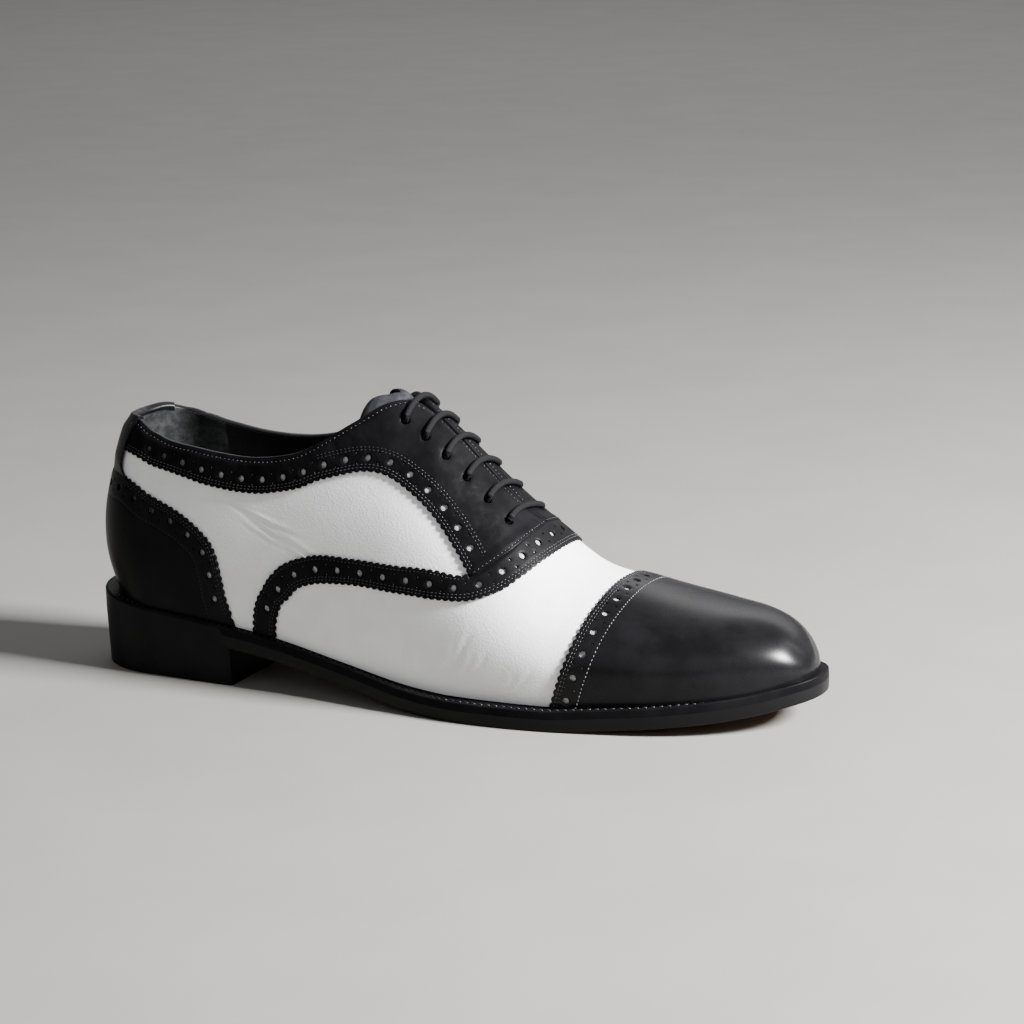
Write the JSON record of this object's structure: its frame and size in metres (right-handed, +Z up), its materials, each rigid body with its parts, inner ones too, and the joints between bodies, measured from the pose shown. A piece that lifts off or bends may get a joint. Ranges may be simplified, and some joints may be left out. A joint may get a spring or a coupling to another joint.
{
  "type": "spectator shoe",
  "caption": "Laced oxford shoe with a light upper and dark toe cap, counter, facings and strips, on a welted leather sole with a stacked heel. Right foot.",
  "frame": {"origin": "middle of the heel's underside, on the floor", "axes": "+X from heel to toe, +Y towards the inner side of the foot, +Z up"},
  "size_m": [0.3005, 0.0975, 0.1183],
  "materials": {
    "white_leather": "smooth calf, satin",
    "black_leather": "waxed calf, polished on the toe cap",
    "tongue_leather": "matt lining leather",
    "sole_leather": "black inked edge, brown underside",
    "heel_leather": "black inked stack, smooth",
    "insole_leather": "matt dark sock leather",
    "lace_cotton": "round waxed cotton"
  },
  "bodies": {
    "root": {"upper": "white_leather", "toe_cap": "black_leather", "counter": "black_leather", "back_strap": "black_leather", "facing_lateral": "black_leather", "facing_medial": "black_leather", "vamp_strip": "black_leather", "welt": "black_leather", "tongue": "tongue_leather", "outsole": "sole_leather", "heel_block": "heel_leather", "insole": "insole_leather", "lace_bar_1": "lace_cotton", "lace_bar_2": "lace_cotton", "lace_bar_3": "lace_cotton", "lace_bar_4": "lace_cotton", "lace_bar_5": "lace_cotton", "lace_bar_6": "lace_cotton"}
  },
  "joints": []
}
